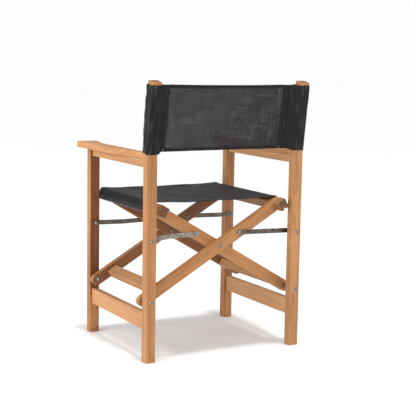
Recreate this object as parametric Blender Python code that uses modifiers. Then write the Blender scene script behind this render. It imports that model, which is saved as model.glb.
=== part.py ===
"""Folding wooden chair with crossed legs, flat arms and two slung fabric panels.

Units are metres, +Z is up, the sitter faces -Y and +X is the sitter's left.
The chair stands open. Its two side frames are joined by two crossed pairs of bars: the
outer pair is bolted to the left side frame, the inner pair to the right side frame.
"""

import math

import bmesh
import bpy
from mathutils import Matrix, Vector

# ---------------------------------------------------------------- driving dimensions
chair_height = 0.863
post_spacing = 0.520  # between the centres of the left and right posts
row_spacing = 0.4334  # between the centres of the front legs and the rear posts

post_width = 0.034
post_depth = 0.030
post_kink_height = 0.640  # the rear posts lean back above this height
post_rake = math.radians(7.0)
post_corner_radius = 0.003
foot_chamfer = 0.0012
top_chamfer = 0.0022
top_slope = math.radians(12.0)  # the tops of the rear posts fall to the rear
leg_corner_radius = 0.003

arm_top_height = 0.6445
arm_thickness = 0.020
arm_outer_reach = 0.036  # beyond the post centre, sideways
arm_inner_reach_front = 0.032
arm_inner_reach_rear = 0.010
arm_rear_width = 0.019
arm_front_overhang = 0.0603  # in front of the leg centre
arm_rear_gap = 0.0085  # between the arm and the rear post
arm_inner_bend = 0.155  # length over which the inner edge curves in
arm_outer_bend_start = 0.215  # from the front end
arm_outer_bend = 0.225
arm_front_radius = 0.005
arm_rear_radius = 0.002
arm_edge = 0.0025

apron_height = 0.0245
apron_thickness = 0.020
side_rail_clearance = 0.013  # below the lower ends of the bars
side_rail_height = 0.053
side_rail_thickness = 0.020
board_inset = 0.0065  # aprons and side rails, from the outer face of the posts

bar_width = 0.036
bar_thickness = 0.022
bar_gap = 0.001  # between the two crossed bars of a row
row_gap = 0.0115  # between a post and the bar next to it
pivot_height = 0.188
centre_height = 0.340
bar_foot = 0.022  # from the lower pivot to the end of the bar
bar_tongue_bottom = 0.003  # the end of the bar is cut away below this line
bar_tip_radius = 0.006
bar_tip_inset = 0.0005  # behind the outer face of the seat rail

rail_width = 0.030  # along the bar
rail_step = 0.003  # the seat rail is this much shallower than the bars
rail_clearance = 0.00676  # between the seat rail and the inner face of a leg
rail_front_overhang = 0.0213  # in front of the leg centre
rail_rear_overhang = 0.0043  # behind the post centre
rail_edge = 0.0006
rail_top_radius = 0.003
rail_bottom_radius = 0.002
rod_bore_radius = 0.006
rod_bore_drop = 0.0075
rod_slot_width = 0.005
rod_radius = 0.0042
rod_inset = 0.002  # from each end of the seat rail

stretcher_width = 0.035
stretcher_depth = 0.025
stretcher_place = 0.058  # from the lower pivot

link_pivot_height = 0.3766
link_place = 0.0815  # from the crossing, up the bar
link_width = 0.015
link_thickness = 0.003
link_bend_start = 0.016  # from the post pivot to the cranked part of a left link
link_bend_end = 0.47  # end of the cranked part, as a share of the link's length

bolt_radius = 0.003
bolt_head_radius = 0.0065
bolt_head_height = 0.0042
bolt_socket_radius = 0.0024
bolt_socket_depth = 0.0024
nut_radius = 0.0062
nut_height = 0.0045
spacer_radius = 0.008
link_spacer_radius = 0.006
rivet_head_height = 0.0026

seat_rear_clearance = 0.001  # in front of the rear bar of the outer pair
seat_flap_rise = 0.004  # edge of the fabric, above the underside of the rail
fabric_thickness = 0.0015
seat_sag = 0.006
back_drop = 0.0135  # top of the back panel, below the post tops
back_lift = 0.0065  # bottom of the back panel, above the kink
sleeve_thickness = 0.0015
panel_thickness = 0.002
panel_rear_offset = 0.006  # panel plane, in front of the middle of the post

gap = 0.0003  # between faces that touch on the real chair
hole_clearance = 0.0003
fabric_clearance = 0.0006
wood_edge = 0.0018  # rounded edges of the boards

# ---------------------------------------------------------------- sizes worked out from them
half_span = post_spacing / 2
bar_angle = math.atan2(centre_height - pivot_height, half_span)
lower_arm = half_span / math.cos(bar_angle)
rail_depth = bar_width - rail_step
rail_corner_x = half_span - post_width / 2 - rail_clearance
upper_arm = (rail_corner_x - rail_depth / 2 * math.sin(bar_angle)) / math.cos(bar_angle) - rail_width / 2
rail_front = row_spacing / 2 + rail_front_overhang
rail_rear = row_spacing / 2 + rail_rear_overhang
side_rail_bottom = pivot_height - bar_foot - side_rail_clearance - side_rail_height
arm_bottom = arm_top_height - arm_thickness
outer_bar_face = row_spacing / 2 - post_depth / 2 - row_gap  # face next to the post
outer_bar_inner = outer_bar_face - bar_thickness
inner_bar_face = outer_bar_inner - bar_gap
inner_bar_inner = inner_bar_face - bar_thickness
seat_rear = outer_bar_inner - seat_rear_clearance
back_top_height = chair_height - back_drop
back_bottom_height = post_kink_height + back_lift
rake_shift = math.tan(post_rake)
front_reach = row_spacing / 2 + arm_front_overhang
post_top_middle = chair_height - (post_depth / 2 - top_chamfer) * math.tan(top_slope)
rear_edge_height = post_top_middle - top_chamfer - post_depth / 2 * math.tan(top_slope)
post_top_reach = row_spacing / 2 + (rear_edge_height - post_kink_height) * rake_shift + post_depth / 2
middle_y = (front_reach - post_top_reach) / 2  # so that the box around the chair is centred
leg_y = middle_y - row_spacing / 2
post_y = middle_y + row_spacing / 2


# ---------------------------------------------------------------- scene, collections, materials
for old in list(bpy.data.objects):
    bpy.data.objects.remove(old, do_unlink=True)


def new_collection(name):
    collection = bpy.data.collections.new(name)
    bpy.context.scene.collection.children.link(collection)
    return collection


parts = new_collection("folding_chair")
cutters = new_collection("cutters")


def new_material(name, colour, roughness, metallic):
    material = bpy.data.materials.new(name)
    material.use_nodes = True
    shader = material.node_tree.nodes["Principled BSDF"]
    shader.inputs["Base Color"].default_value = (*colour, 1.0)
    shader.inputs["Roughness"].default_value = roughness
    shader.inputs["Metallic"].default_value = metallic
    return material


wood = new_material("oiled_teak", (0.56, 0.30, 0.12), 0.55, 0.0)
steel = new_material("zinc_steel", (0.62, 0.61, 0.58), 0.38, 1.0)
mesh_cloth = new_material("woven_mesh", (0.075, 0.073, 0.078), 0.80, 0.0)
plain_cloth = new_material("plain_webbing", (0.02, 0.02, 0.023), 0.65, 0.0)


# ---------------------------------------------------------------- modelling helpers
def add_object(name, mesh, material, placing, parent=None, collection=None):
    mesh.name = name
    item = bpy.data.objects.new(name, mesh)
    (collection or parts).objects.link(item)
    item.matrix_world = placing
    if parent is not None:
        item.parent = parent
        item.matrix_parent_inverse = parent.matrix_world.inverted()
    if material is not None:
        mesh.materials.append(material)
    mesh.shade_smooth()
    mesh.set_sharp_from_angle(angle=math.radians(35))
    return item


def add_empty(name, placing):
    empty = bpy.data.objects.new(name, None)
    parts.objects.link(empty)
    empty.matrix_world = placing
    bpy.context.view_layer.update()
    return empty


def arc(centre, radius, start, stop, steps):
    """Points on an arc, angles in degrees, both ends included."""
    angles = [math.radians(start + (stop - start) * i / steps) for i in range(steps + 1)]
    return [(centre[0] + radius * math.cos(t), centre[1] + radius * math.sin(t)) for t in angles]


def rounded_outline(corners, radii, steps=3):
    """A closed outline whose corners are replaced by arcs of the given radii."""
    outline = []
    count = len(corners)
    for i, radius in enumerate(radii):
        here = Vector(corners[i])
        back = (Vector(corners[i - 1]) - here).normalized()
        ahead = (Vector(corners[(i + 1) % count]) - here).normalized()
        if radius <= 0:
            outline.append(tuple(here))
            continue
        half = math.acos(max(-1.0, min(1.0, back.dot(ahead)))) / 2
        centre = here + (back + ahead).normalized() * radius / math.sin(half)
        first = here + back * radius / math.tan(half) - centre
        last = here + ahead * radius / math.tan(half) - centre
        start = math.degrees(math.atan2(first.y, first.x))
        turn = (math.degrees(math.atan2(last.y, last.x)) - start + 180) % 360 - 180
        outline += arc(centre, radius, start, start + turn, steps)
    return outline


def circle(centre, radius, steps=16):
    return arc(centre, radius, 0, 360 * (steps - 1) / steps, steps - 1)


def flat_mesh(outline, thickness, holes=()):
    """A plate in the XZ plane, its thickness along Y and its middle at Y = 0."""
    curve = bpy.data.curves.new("outline", "CURVE")
    curve.dimensions = "2D"
    curve.fill_mode = "BOTH"
    curve.extrude = thickness / 2
    for loop in (outline, *holes):
        spline = curve.splines.new("POLY")
        spline.points.add(len(loop) - 1)
        for point, (x, z) in zip(spline.points, loop):
            point.co = (x, z, 0, 1)
        spline.use_cyclic_u = True
    guide = bpy.data.objects.new("outline", curve)
    parts.objects.link(guide)
    bpy.context.view_layer.update()
    evaluated = guide.evaluated_get(bpy.context.evaluated_depsgraph_get())
    mesh = bpy.data.meshes.new_from_object(evaluated)
    bpy.data.objects.remove(guide, do_unlink=True)
    mesh.transform(Matrix.Rotation(math.radians(90), 4, "X"))
    shape = bmesh.new()
    shape.from_mesh(mesh)
    bmesh.ops.remove_doubles(shape, verts=shape.verts, dist=1e-6)
    if not holes:
        bmesh.ops.dissolve_limit(
            shape, angle_limit=math.radians(0.5), verts=shape.verts, edges=shape.edges
        )
    bmesh.ops.recalc_face_normals(shape, faces=shape.faces)
    shape.to_mesh(mesh)
    shape.free()
    return mesh


def round_edges(mesh, radius, segments=2, sharper_than=40):
    shape = bmesh.new()
    shape.from_mesh(mesh)
    limit = math.radians(sharper_than)
    edges = [e for e in shape.edges if e.is_convex and e.calc_face_angle() > limit]
    bmesh.ops.bevel(
        shape, geom=edges, offset=radius, segments=segments, profile=0.5,
        affect="EDGES", clamp_overlap=True,
    )
    bmesh.ops.recalc_face_normals(shape, faces=shape.faces)
    shape.to_mesh(mesh)
    shape.free()
    return mesh


def box_mesh(size, edge=wood_edge):
    mesh = bpy.data.meshes.new("box")
    shape = bmesh.new()
    bmesh.ops.create_cube(shape, size=1.0)
    bmesh.ops.scale(shape, vec=size, verts=shape.verts)
    shape.to_mesh(mesh)
    shape.free()
    if edge > 0:
        round_edges(mesh, edge)
    return mesh


def turned_mesh(profile, steps=16):
    """A solid of revolution about Y. The profile is (radius, along) from top to bottom."""
    mesh = bpy.data.meshes.new("turned")
    shape = bmesh.new()
    verts = [shape.verts.new((radius, 0, -along)) for radius, along in profile]
    for first, second in zip(verts, verts[1:]):
        shape.edges.new((first, second))
    bmesh.ops.spin(
        shape, geom=list(shape.verts) + list(shape.edges), cent=(0, 0, 0), axis=(0, 0, 1),
        angle=math.radians(360), steps=steps, use_merge=True,
    )
    bmesh.ops.remove_doubles(shape, verts=shape.verts, dist=1e-6)
    bmesh.ops.recalc_face_normals(shape, faces=shape.faces)
    shape.to_mesh(mesh)
    shape.free()
    mesh.transform(Matrix.Rotation(math.radians(90), 4, "X"))
    return mesh


def add_hole(item, x, z, radius, y_low, y_high):
    """Bores a round hole along Y through a piece, at world X and Z."""
    cutter = bpy.data.objects.get(f"bore_{x:.4f}_{z:.4f}_{radius:.4f}_{y_low:.4f}")
    if cutter is None:
        mesh = turned_mesh([(0, 0), (radius, 0), (radius, y_high - y_low), (0, y_high - y_low)])
        name = f"bore_{x:.4f}_{z:.4f}_{radius:.4f}_{y_low:.4f}"
        cutter = add_object(name, mesh, None, Matrix.Translation((x, y_low, z)), None, cutters)
        hide_cutter(cutter)
    cut(item, cutter)


def hide_cutter(cutter):
    cutter.hide_render = True
    cutter.display_type = "WIRE"


def cut(item, cutter):
    modifier = item.modifiers.new("cut", "BOOLEAN")
    modifier.operation = "DIFFERENCE"
    modifier.solver = "EXACT"
    modifier.object = cutter


def tube_profile(radius, inner_radius, length):
    return [(inner_radius, 0), (radius, 0), (radius, length), (inner_radius, length), (inner_radius, 0)]


def bolt_profile(length, head_height=bolt_head_height):
    """A button head with a socket and a plain shank. The top of the head is at 0."""
    dome = []
    for angle in (62, 42, 20, 0):
        turn = math.radians(angle)
        dome.append((bolt_head_radius * math.cos(turn), head_height * (1 - math.sin(turn))))
    socket_bottom = min(bolt_socket_depth, head_height * 0.6)
    socket = [(0, socket_bottom), (bolt_socket_radius, socket_bottom), (bolt_socket_radius, 0)]
    shank_end = head_height + length
    shank = [(bolt_radius, head_height), (bolt_radius, shank_end), (0, shank_end)]
    return socket + dome + shank


def loft_mesh(sections):
    """A closed skin through sections that have the same number of points, low to high."""
    mesh = bpy.data.meshes.new("loft")
    shape = bmesh.new()
    rings = [[shape.verts.new(point) for point in section] for section in sections]
    for low, high in zip(rings, rings[1:]):
        for i in range(len(low)):
            k = (i + 1) % len(low)
            shape.faces.new((low[i], low[k], high[k], high[i]))
    shape.faces.new(list(reversed(rings[0])))
    shape.faces.new(rings[-1])
    bmesh.ops.recalc_face_normals(shape, faces=shape.faces)
    shape.to_mesh(mesh)
    shape.free()
    return mesh


def box_outline(width, depth, radius, steps=3):
    w = width / 2
    d = depth / 2
    return rounded_outline([(w, -d), (w, d), (-w, d), (-w, -d)], [radius] * 4, steps)


def smooth(share):
    share = max(0.0, min(1.0, share))
    return share * share * (3 - 2 * share)


# ---------------------------------------------------------------- joint frames
pivot_hole = bolt_radius + hole_clearance
right_frame = add_empty("right_side_frame", Matrix.Translation((-half_span, middle_y, pivot_height)))
outer_frame = add_empty(
    "outer_scissor_frame",
    Matrix.Translation((half_span, middle_y, pivot_height))
    @ Matrix.Rotation(math.radians(180), 4, "Z")
    @ Matrix.Rotation(-bar_angle, 4, "Y"),
)
inner_frame = add_empty(
    "inner_scissor_frame",
    Matrix.Translation((0, middle_y, centre_height)) @ Matrix.Rotation(-bar_angle, 4, "Y"),
)
frames = {
    "left": {"sign": 1, "parent": None},
    "right": {"sign": -1, "parent": right_frame},
}
rows = {"rear": 1, "front": -1}  # side of the middle plane along Y


# ---------------------------------------------------------------- side frames
def rear_post(side, sign, parent):
    stations = [
        (0.0, foot_chamfer, 0.0),
        (foot_chamfer, 0.0, 0.0),
        (post_kink_height, 0.0, 0.0),
        (post_top_middle - top_chamfer, 0.0, math.tan(top_slope)),
        (post_top_middle, top_chamfer, math.tan(top_slope)),
    ]
    sections = []
    for height, inset, fall in stations:
        section = []
        for x, y in box_outline(post_width - 2 * inset, post_depth - 2 * inset, post_corner_radius - inset):
            z = height - y * fall
            section.append((x, y + max(0.0, z - post_kink_height) * rake_shift, z))
        sections.append(section)
    placing = Matrix.Translation((sign * half_span, post_y, 0))
    post = add_object(f"{side}_rear_post", loft_mesh(sections), wood, placing, parent)
    bore_post(post, sign, post_y)


def bore_post(post, sign, y):
    for z in (pivot_height, link_pivot_height):
        add_hole(post, sign * half_span, z, pivot_hole, y - post_depth, y + post_depth)


def front_leg(side, sign, parent):
    height = arm_bottom - gap
    mesh = box_mesh((post_width, post_depth, height), leg_corner_radius)
    placing = Matrix.Translation((sign * half_span, leg_y, height / 2))
    leg = add_object(f"{side}_front_leg", mesh, wood, placing, parent)
    bore_post(leg, sign, leg_y)


def arm_rest(side, sign, parent):
    front = leg_y - arm_front_overhang
    rear = post_y - post_depth / 2 - arm_rear_gap
    inner_rear = half_span - arm_inner_reach_rear
    inner_front = half_span - arm_inner_reach_front
    outer_front = half_span + arm_outer_reach
    outer_rear = inner_rear + arm_rear_width
    samples = 9
    outline = [(inner_front, front)]
    radii = [arm_front_radius]
    for i in range(1, samples):
        share = i / samples
        widening = (inner_rear - inner_front) * smooth(share)
        outline.append((inner_front + widening, front + arm_inner_bend * share))
        radii.append(0)
    outline += [(inner_rear, rear), (outer_rear, rear)]
    radii += [arm_rear_radius, arm_rear_radius]
    for i in range(samples, 0, -1):
        share = i / samples
        narrowing = (outer_front - outer_rear) * smooth(share)
        outline.append((outer_front - narrowing, front + arm_outer_bend_start + arm_outer_bend * share))
        radii.append(0)
    outline.append((outer_front, front))
    radii.append(arm_front_radius)
    outline = [(sign * x, y) for x, y in rounded_outline(outline, radii)]
    mesh = round_edges(flat_mesh(outline, arm_thickness), arm_edge)
    placing = Matrix.Translation((0, 0, arm_bottom + arm_thickness / 2)) @ Matrix.Rotation(
        math.radians(-90), 4, "X"
    )
    add_object(f"{side}_armrest", mesh, wood, placing, parent)


def side_boards(side, sign, parent):
    length = row_spacing - post_depth - 2 * gap
    for name, thickness, height, bottom in (
        ("apron", apron_thickness, apron_height, arm_bottom - gap - apron_height),
        ("side_rail", side_rail_thickness, side_rail_height, side_rail_bottom),
    ):
        x = half_span + post_width / 2 - board_inset - thickness / 2
        placing = Matrix.Translation((sign * x, middle_y, bottom + height / 2))
        mesh = box_mesh((thickness, length, height))
        add_object(f"{side}_{name}", mesh, wood, placing, parent)


def facing_rear(x, y, z):
    """Places a turned piece so that its profile starts at y and runs towards -Y."""
    return Matrix.Translation((x, y, z)) @ Matrix.Rotation(math.radians(180), 4, "Z")


def spacer(name, x, z, y_one, y_two, radius, parent):
    low, high = sorted((y_one, y_two))
    mesh = turned_mesh(tube_profile(radius, pivot_hole, high - low - 2 * gap), 14)
    add_object(name, mesh, steel, Matrix.Translation((x, low + gap, z)), parent)


def nut(name, x, z, y_high, parent):
    mesh = flat_mesh(circle((0, 0), nut_radius, 6), nut_height, [circle((0, 0), pivot_hole)])
    add_object(name, mesh, steel, Matrix.Translation((x, y_high - nut_height / 2, z)), parent)


def side_hardware(side, sign, parent):
    x = sign * half_span
    bar_face = outer_bar_face if sign > 0 else inner_bar_face
    bar_inner = bar_face - bar_thickness
    nut_length = nut_height + gap
    for row, way in rows.items():
        post_face = middle_y + way * (row_spacing / 2 - post_depth / 2)
        spacer(
            f"{side}_{row}_pivot_spacer", x, pivot_height,
            middle_y + way * bar_face, post_face, spacer_radius, parent,
        )
        spacer(
            f"{side}_{row}_link_spacer", x, link_pivot_height,
            middle_y + way * (outer_bar_face + gap + link_thickness), post_face,
            link_spacer_radius, parent,
        )
        if way > 0:
            head = post_y + post_depth / 2 + gap
            nut_face = middle_y + bar_inner - gap
            link_end = middle_y + outer_bar_face + gap
            link_head = head
        else:
            head = middle_y - bar_inner + gap
            nut_face = leg_y - post_depth / 2 - gap
            link_head = middle_y - outer_bar_face
            link_end = leg_y - post_depth / 2 + gap
        shank = head - nut_face + nut_length
        placing = facing_rear(x, head + bolt_head_height, pivot_height)
        add_object(f"{side}_{row}_pivot_bolt", turned_mesh(bolt_profile(shank)), steel, placing, parent)
        nut(f"{side}_{row}_pivot_nut", x, pivot_height, nut_face, parent)
        placing = facing_rear(x, link_head + bolt_head_height, link_pivot_height)
        mesh = turned_mesh(bolt_profile(link_head - link_end))
        add_object(f"{side}_{row}_link_bolt", mesh, steel, placing, parent)


# ---------------------------------------------------------------- crossed bars
def bar_outline():
    """Along the bar from its lower pivot, and across it."""
    half = bar_width / 2
    end = lower_arm + upper_arm + rail_width / 2 - bar_tip_inset
    notch = lower_arm + upper_arm - rail_width / 2 - gap
    outline = arc((half - bar_foot, 0), half, 90, 270, 10)
    outline += [(notch, -half), (notch, bar_tongue_bottom), (end, bar_tongue_bottom)]
    outline += arc((end - bar_tip_radius, half - bar_tip_radius), bar_tip_radius, 0, 90, 4)
    return outline


def rail_outline():
    """Around the middle of the rail: a square with a keyhole for the sling rod below."""
    w = rail_width / 2
    d = rail_depth / 2
    spread = math.degrees(math.asin(rod_slot_width / 2 / rod_bore_radius))
    keyhole = arc((0, -rod_bore_drop), rod_bore_radius, 270 - spread, -90 + spread, 12)
    slot = rod_slot_width / 2
    corners = [(-slot, -d), *keyhole, (slot, -d), (w, -d), (w, d), (-w, d), (-w, -d)]
    radii = [0] * (len(keyhole) + 2)
    radii += [rail_bottom_radius, rail_top_radius, rail_top_radius, rail_bottom_radius]
    return rounded_outline(corners, radii)


def scissor(name, frame, first, face):
    """One crossed pair: two bars, their stretcher, the seat rail and its sling rod.

    first is where the lower pivot lies along the frame's own X axis.
    """
    inner = face - bar_thickness
    way_of_y = -1 if name == "outer" else 1  # the outer frame is turned half round
    rail_at = first + lower_arm + upper_arm
    for row, way in rows.items():
        y = way * way_of_y * (face - bar_thickness / 2)
        placing = frame.matrix_world @ Matrix.Translation((first, y, 0))
        mesh = round_edges(flat_mesh(bar_outline(), bar_thickness), wood_edge)
        bar = add_object(f"{name}_{row}_bar", mesh, wood, placing, frame)
        holes = [0, lower_arm]
        if way < 0:
            holes.append(lower_arm + link_place)
        low = middle_y + way * (face - bar_thickness / 2) - bar_thickness
        for along in holes:
            spot = frame.matrix_world @ Vector((first + along, 0, 0))
            add_hole(bar, spot.x, spot.z, pivot_hole, low, low + 2 * bar_thickness)

    placing = frame.matrix_world @ Matrix.Translation(
        (first + stretcher_place, 0, (stretcher_depth - bar_width) / 2)
    )
    mesh = box_mesh((stretcher_width, 2 * (inner - gap), stretcher_depth))
    add_object(f"{name}_stretcher", mesh, wood, placing, frame)

    rail_middle = (rail_rear - rail_front) / 2
    placing = frame.matrix_world @ Matrix.Translation((rail_at, way_of_y * rail_middle, 0))
    mesh = round_edges(flat_mesh(rail_outline(), rail_front + rail_rear), rail_edge, 1)
    rail = add_object(f"{name}_seat_rail", mesh, wood, placing, frame)
    for row, way in rows.items():
        notch_bottom = bar_tongue_bottom - gap
        size = (rail_width * 2, bar_thickness + 2 * gap, rail_depth)
        spot = (rail_at, way * (face - bar_thickness / 2), notch_bottom + rail_depth / 2)
        cutter = add_object(
            f"{name}_{row}_rail_notch", box_mesh(size, 0), None,
            frame.matrix_world @ Matrix.Translation(spot), None, cutters,
        )
        hide_cutter(cutter)
        cut(rail, cutter)

    rod_length = rail_front + rail_rear - 2 * rod_inset
    rod = frame.matrix_world @ Vector((rail_at, 0, -rod_bore_drop))
    mesh = turned_mesh([(0, 0), (rod_radius, 0), (rod_radius, rod_length), (0, rod_length)], 12)
    placing = Matrix.Translation((rod.x, middle_y - rail_front + rod_inset, rod.z))
    add_object(f"{name}_sling_rod", mesh, wood, placing, frame)

    spot = frame.matrix_world @ Vector((first + lower_arm + link_place, 0, 0))
    head = middle_y - inner + gap
    placing = facing_rear(spot.x, head + bolt_head_height, spot.z)
    mesh = turned_mesh(bolt_profile(bar_thickness + gap))
    add_object(f"{name}_front_link_stud", mesh, steel, placing, frame)


def centre_hardware():
    for row, way in rows.items():
        if way > 0:
            head = middle_y + outer_bar_face + gap
            nut_face = middle_y + inner_bar_inner - gap
        else:
            head = middle_y - inner_bar_inner + gap
            nut_face = middle_y - outer_bar_face - gap
        mesh = turned_mesh(bolt_profile(head - nut_face + nut_height + gap))
        placing = facing_rear(0, head + bolt_head_height, centre_height)
        add_object(f"centre_{row}_bolt", mesh, steel, placing, outer_frame)
        nut(f"centre_{row}_nut", 0, centre_height, nut_face, outer_frame)


# ---------------------------------------------------------------- steel links
def link(side, sign, row, way):
    """A flat strip from a post to a bar. Left strips are cranked to reach the inner bars."""
    across = half_span - link_place * math.cos(bar_angle)
    rise = centre_height + link_place * math.sin(bar_angle) - link_pivot_height
    length = math.hypot(across, rise)
    end_radius = link_width / 2
    outline = arc((0, 0), end_radius, 90, 270, 8) + arc((length, 0), end_radius, -90, 90, 8)
    holes = [circle((0, 0), pivot_hole, 12), circle((length, 0), pivot_hole, 12)]
    mesh = flat_mesh(outline, link_thickness, holes)
    crank = bar_thickness + bar_gap if sign > 0 else 0.0
    turn = Matrix.Rotation(-math.atan2(rise, across), 4, "Y")
    if sign > 0:
        turn = Matrix.Rotation(math.radians(180), 4, "Z") @ turn
        crank_way = way
    else:
        crank_way = -way
    if crank:
        crank_strip(mesh, link_bend_start, length * link_bend_end, crank, crank_way)
    frame = add_empty(
        f"{side}_{row}_link_frame", Matrix.Translation((sign * half_span, middle_y, link_pivot_height))
    )
    if sign < 0:
        frame.parent = right_frame
        frame.matrix_parent_inverse = right_frame.matrix_world.inverted()
    y = middle_y + way * (outer_bar_face + gap + link_thickness / 2)
    placing = Matrix.Translation((sign * half_span, y, link_pivot_height)) @ turn
    add_object(f"{side}_{row}_link", mesh, steel, placing, frame)

    x = sign * (half_span - across)
    z = link_pivot_height + rise
    outer_side = y - middle_y - way * crank + way * (link_thickness / 2 + gap + rivet_head_height)
    profile = bolt_profile(link_thickness + gap, rivet_head_height)
    placing = Matrix.Translation((x, middle_y + outer_side, z))
    if way > 0:
        placing = placing @ Matrix.Rotation(math.radians(180), 4, "Z")
    add_object(f"{side}_{row}_link_rivet", turned_mesh(profile), steel, placing, frame)


def crank_strip(mesh, start, stop, step, way):
    """Steps the strip sideways between two places along it, on a straight slope."""
    shape = bmesh.new()
    shape.from_mesh(mesh)
    for along in (start, stop):
        everything = list(shape.verts) + list(shape.edges) + list(shape.faces)
        bmesh.ops.bisect_plane(shape, geom=everything, plane_co=(along, 0, 0), plane_no=(1, 0, 0))
    for vert in shape.verts:
        share = (vert.co.x - start) / (stop - start)
        vert.co.y += way * step * max(0.0, min(1.0, share))
    bmesh.ops.recalc_face_normals(shape, faces=shape.faces)
    shape.to_mesh(mesh)
    shape.free()


# ---------------------------------------------------------------- slung fabric
def seat_sling():
    """A strip over both rails, turned down over their outer faces."""
    stand_off = fabric_clearance + fabric_thickness / 2
    face = rail_width / 2 + stand_off
    centre = (rail_width / 2 - rail_top_radius, rail_depth / 2 - rail_top_radius)
    edge = [(face, -rail_depth / 2 + seat_flap_rise)]
    edge += arc(centre, rail_top_radius + stand_off, 0, 90 - math.degrees(bar_angle), 4)
    right_side = []
    for along, across in edge:
        spot = inner_frame.matrix_world @ Vector((upper_arm + along, 0, across))
        right_side.append((spot.x, spot.z))
    end_x, end_z = right_side[-1]
    middle = []
    steps = 8
    for i in range(1, steps):
        x = end_x * (1 - 2 * i / steps)
        middle.append((x, end_z - seat_sag * (1 - (x / end_x) ** 2)))
    path = right_side + middle + [(-x, z) for x, z in reversed(right_side)]
    mesh = bpy.data.meshes.new("sling")
    shape = bmesh.new()
    low = [shape.verts.new((x, middle_y - rail_front, z)) for x, z in path]
    high = [shape.verts.new((x, middle_y + seat_rear, z)) for x, z in path]
    for i in range(len(path) - 1):
        shape.faces.new((low[i], low[i + 1], high[i + 1], high[i]))
    shape.to_mesh(mesh)
    shape.free()
    sling = add_object("seat_sling", mesh, mesh_cloth, Matrix.Identity(4), outer_frame)
    thicken = sling.modifiers.new("thickness", "SOLIDIFY")
    thicken.thickness = fabric_thickness
    thicken.offset = 0
    thicken.use_even_offset = True


def back_sling():
    lean = Matrix.Rotation(-post_rake, 4, "X")
    low = (back_bottom_height - post_kink_height) / math.cos(post_rake)
    high = (back_top_height - post_kink_height) / math.cos(post_rake)
    inner_w = post_width + 2 * fabric_clearance
    inner_d = post_depth + 2 * fabric_clearance
    inner_radius = post_corner_radius
    middle = (low + high) / 2
    for side, frame in frames.items():
        sleeve_hole = box_outline(inner_w, inner_d, inner_radius)
        sleeve = box_outline(
            inner_w + 2 * sleeve_thickness, inner_d + 2 * sleeve_thickness, inner_radius + sleeve_thickness
        )
        mesh = flat_mesh(sleeve, high - low, [sleeve_hole])
        placing = (
            Matrix.Translation((frame["sign"] * half_span, post_y, post_kink_height))
            @ lean
            @ Matrix.Translation((0, 0, middle))
            @ Matrix.Rotation(math.radians(-90), 4, "X")
        )
        add_object(f"{side}_back_sleeve", mesh, plain_cloth, placing, frame["parent"])
    width = post_spacing - inner_w - 2 * sleeve_thickness - 2 * gap
    placing = (
        Matrix.Translation((0, post_y, post_kink_height))
        @ lean
        @ Matrix.Translation((0, -panel_rear_offset, middle))
    )
    mesh = box_mesh((width, panel_thickness, high - low), 0)
    add_object("back_panel", mesh, mesh_cloth, placing)


# ---------------------------------------------------------------- assembly
for side, frame in frames.items():
    sign = frame["sign"]
    parent = frame["parent"]
    rear_post(side, sign, parent)
    front_leg(side, sign, parent)
    arm_rest(side, sign, parent)
    side_boards(side, sign, parent)
    side_hardware(side, sign, parent)
    for row, way in rows.items():
        link(side, sign, row, way)

scissor("outer", outer_frame, 0.0, outer_bar_face)
scissor("inner", inner_frame, -lower_arm, inner_bar_face)
centre_hardware()
seat_sling()
back_sling()
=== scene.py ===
import math

import bpy
import bmesh
from mathutils import Euler, Matrix, Vector, noise


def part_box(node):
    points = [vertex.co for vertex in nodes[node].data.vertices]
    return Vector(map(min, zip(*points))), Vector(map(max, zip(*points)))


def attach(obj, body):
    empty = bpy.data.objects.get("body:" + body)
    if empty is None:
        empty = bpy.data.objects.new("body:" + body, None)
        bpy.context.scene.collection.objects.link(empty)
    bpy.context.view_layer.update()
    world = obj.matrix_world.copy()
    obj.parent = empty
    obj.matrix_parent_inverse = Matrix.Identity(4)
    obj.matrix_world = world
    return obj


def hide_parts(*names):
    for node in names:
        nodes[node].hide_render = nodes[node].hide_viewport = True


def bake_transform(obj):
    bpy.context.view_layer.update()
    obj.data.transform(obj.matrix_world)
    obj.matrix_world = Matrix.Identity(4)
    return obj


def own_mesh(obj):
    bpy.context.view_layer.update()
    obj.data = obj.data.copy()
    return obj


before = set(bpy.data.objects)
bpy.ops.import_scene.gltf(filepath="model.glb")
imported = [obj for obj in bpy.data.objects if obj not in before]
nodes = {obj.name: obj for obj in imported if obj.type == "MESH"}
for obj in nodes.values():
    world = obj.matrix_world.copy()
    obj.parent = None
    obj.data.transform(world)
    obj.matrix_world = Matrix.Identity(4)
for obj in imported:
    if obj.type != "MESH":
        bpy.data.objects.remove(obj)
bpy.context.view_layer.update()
print("frame loaded:", len(nodes), "nodes")


# Measures taken from the frame
def middle(name):
    low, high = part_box(name)
    return (low + high) / 2


pivot = middle("left_rear_pivot_bolt")
crossing = middle("centre_rear_bolt")
halfSpan = pivot.x
middleY = (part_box("outer_front_bar")[0].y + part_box("outer_rear_bar")[1].y) / 2
barAngle = math.atan2(crossing.z - pivot.z, halfSpan)
railCentre = middle("inner_seat_rail")  # on the +X side, the outer rail mirrors it
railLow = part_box("inner_seat_rail")[0]
postY = 2 * middleY - middle("left_front_leg").y
panelLow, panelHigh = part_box("back_panel")


# Node helpers
# Links each input to a socket or fills it with a value
def feed(tree, node, inputs):
    for key, value in inputs.items():
        if isinstance(value, bpy.types.NodeSocket):
            tree.links.new(value, node.inputs[key])
        else:
            node.inputs[key].default_value = value


# Adds a node, sets its options and feeds its inputs
def put(tree, kind, inputs=None, **settings):
    node = tree.nodes.new(kind)
    for key, value in settings.items():
        setattr(node, key, value)
    feed(tree, node, inputs or {})
    return node


def calc(tree, operation, *values):
    return put(tree, "ShaderNodeMath", dict(enumerate(values)), operation=operation).outputs[0]


def plus(tree, first, second):
    return calc(tree, "ADD", first, second)


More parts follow.
